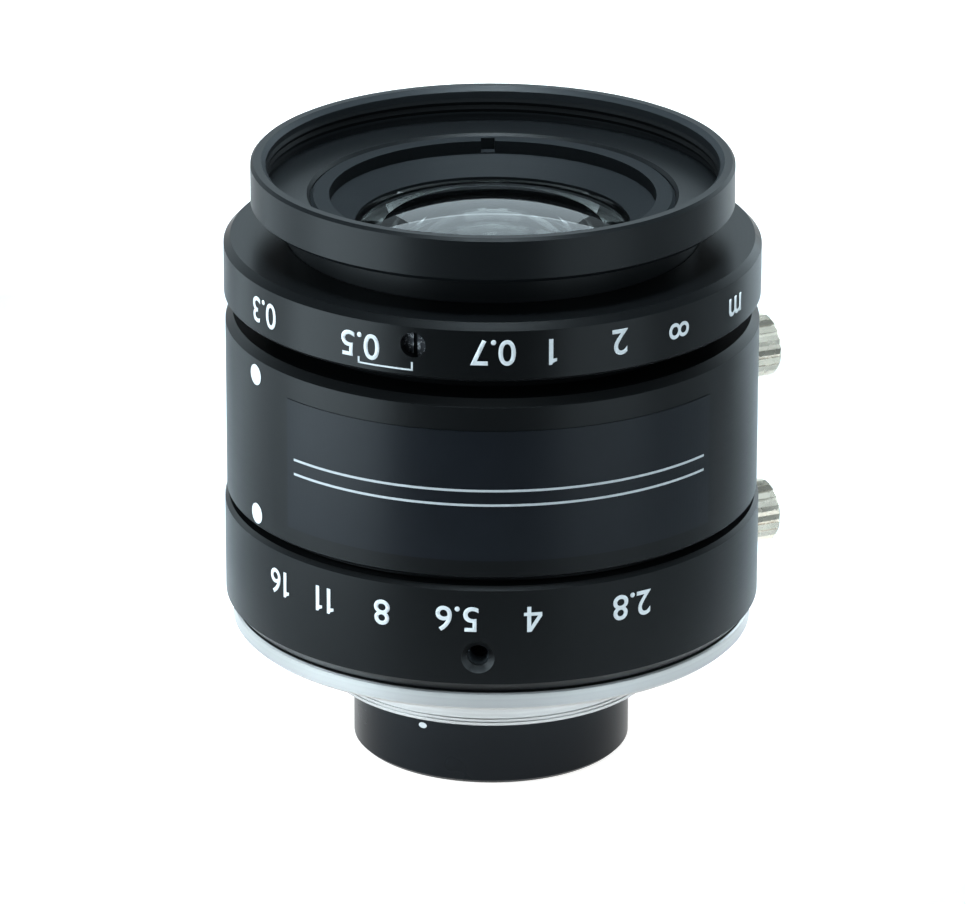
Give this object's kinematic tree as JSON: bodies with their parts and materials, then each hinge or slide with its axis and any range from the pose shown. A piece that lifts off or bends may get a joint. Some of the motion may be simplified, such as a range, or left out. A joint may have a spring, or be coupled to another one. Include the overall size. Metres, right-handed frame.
{
  "type": "c-mount machine vision lens",
  "caption": "Fixed focal length lens with focus and iris rings, lock screws, a blade diaphragm, a filter thread and a push-on rear cap over its screw mount.",
  "frame": {"origin": "centre of the rear cap's flat end, where the lens stands", "axes": "+Z along the optical axis towards the front of the lens, -Y through the middle of the scales, +X to the right when they face you with the front up"},
  "size_m": [0.0566, 0.0538, 0.0617],
  "materials": {
    "black_anodised": "satin black anodised",
    "bright_aluminium": "fine turned, clear anodised",
    "cap_plastic": "moulded, matt black",
    "nickel": "nickel plated, knurled",
    "dark_steel": "blackened",
    "blade_steel": "thin matt black",
    "optical_glass": "polished and coated"
  },
  "bodies": {
    "cap": {"rear_cap": "cap_plastic"},
    "barrel": {"main_barrel": "black_anodised", "mount_base": "bright_aluminium", "base_screws": "dark_steel", "guide_pin": "dark_steel"},
    "optics": {"front_barrel": "black_anodised", "helicoid_retainer": "black_anodised", "front_retaining_ring": "black_anodised", "front_element": "optical_glass", "second_element": "optical_glass", "front_spacer": "black_anodised", "third_element": "optical_glass", "iris_cage": "black_anodised", "rear_barrel": "black_anodised", "doublet_crown": "optical_glass", "doublet_flint": "optical_glass", "middle_spacer": "black_anodised", "sixth_element": "optical_glass", "rear_spacer": "black_anodised", "rear_element": "optical_glass", "rear_retaining_ring": "black_anodised"},
    "focus": {"focus_ring": "black_anodised", "focus_helicoid": "black_anodised", "set_screws": "dark_steel"},
    "iris": {"iris_ring": "black_anodised"},
    "iris_cam": {"iris_cam_ring": "black_anodised", "iris_drive_pin": "dark_steel"},
    "blade_1": {"iris_blade_1": "blade_steel"},
    "blade_2": {"iris_blade_2": "blade_steel"},
    "blade_3": {"iris_blade_3": "blade_steel"},
    "blade_4": {"iris_blade_4": "blade_steel"},
    "blade_5": {"iris_blade_5": "blade_steel"},
    "blade_6": {"iris_blade_6": "blade_steel"},
    "focus_lock": {"focus_lock_screw": "nickel"},
    "iris_lock": {"iris_lock_screw": "nickel"}
  },
  "joints": [
    {"name": "cap_pull", "type": "slide", "parent": "cap", "child": "barrel", "axis": [0, 0, 1], "range_m": [0, 0.008]},
    {"name": "focus_slide", "type": "slide", "parent": "barrel", "child": "optics", "axis": [0, 0, 1], "range_m": [-0.00095, 0]},
    {"name": "focus_turn", "type": "hinge", "parent": "optics", "child": "focus", "pos_m": [0, 0, 0.0509], "axis": [0, 0, 1], "range_deg": [-103, 0]},
    {"name": "iris_turn", "type": "hinge", "parent": "barrel", "child": "iris", "pos_m": [0, 0, 0.0209], "axis": [0, 0, 1], "range_deg": [-91.7, 0]},
    {"name": "iris_cam_turn", "type": "hinge", "parent": "optics", "child": "iris_cam", "pos_m": [0, 0, 0.0235], "axis": [0, 0, 1], "range_deg": [-91.7, 0]},
    {"name": "blade_1_swing", "type": "hinge", "parent": "optics", "child": "blade_1", "pos_m": [0.01015, 0.00369, 0.0258], "axis": [0, 0, 1], "range_deg": [-23.51, 0]},
    {"name": "blade_2_swing", "type": "hinge", "parent": "optics", "child": "blade_2", "pos_m": [0.00188, 0.01064, 0.0258], "axis": [0, 0, 1], "range_deg": [-23.51, 0]},
    {"name": "blade_3_swing", "type": "hinge", "parent": "optics", "child": "blade_3", "pos_m": [-0.00827, 0.00694, 0.0258], "axis": [0, 0, 1], "range_deg": [-23.51, 0]},
    {"name": "blade_4_swing", "type": "hinge", "parent": "optics", "child": "blade_4", "pos_m": [-0.01015, -0.00369, 0.0258], "axis": [0, 0, 1], "range_deg": [-23.51, 0]},
    {"name": "blade_5_swing", "type": "hinge", "parent": "optics", "child": "blade_5", "pos_m": [-0.00188, -0.01064, 0.0258], "axis": [0, 0, 1], "range_deg": [-23.51, 0]},
    {"name": "blade_6_swing", "type": "hinge", "parent": "optics", "child": "blade_6", "pos_m": [0.00827, -0.00694, 0.0258], "axis": [0, 0, 1], "range_deg": [-23.51, 0]},
    {"name": "focus_lock_turn", "type": "hinge", "parent": "barrel", "child": "focus_lock", "pos_m": [0.02538, 0.01183, 0.0373], "axis": [0.9063, 0.4226, 0], "range_deg": [0, 360]},
    {"name": "iris_lock_turn", "type": "hinge", "parent": "iris", "child": "iris_lock", "pos_m": [0.02538, 0.01183, 0.01915], "axis": [0.9063, 0.4226, 0], "range_deg": [0, 360]}
  ],
  "couplings": [
    {"joint": "focus_slide", "follows": "focus_turn", "m_per_rad": 0.00052845},
    {"joint": "iris_cam_turn", "follows": "iris_turn", "ratio": 1},
    {"joint": "blade_1_swing", "follows": "iris_turn", "ratio": 0.25635},
    {"joint": "blade_2_swing", "follows": "iris_turn", "ratio": 0.25635},
    {"joint": "blade_3_swing", "follows": "iris_turn", "ratio": 0.25635},
    {"joint": "blade_4_swing", "follows": "iris_turn", "ratio": 0.25635},
    {"joint": "blade_5_swing", "follows": "iris_turn", "ratio": 0.25635},
    {"joint": "blade_6_swing", "follows": "iris_turn", "ratio": 0.25635}
  ]
}
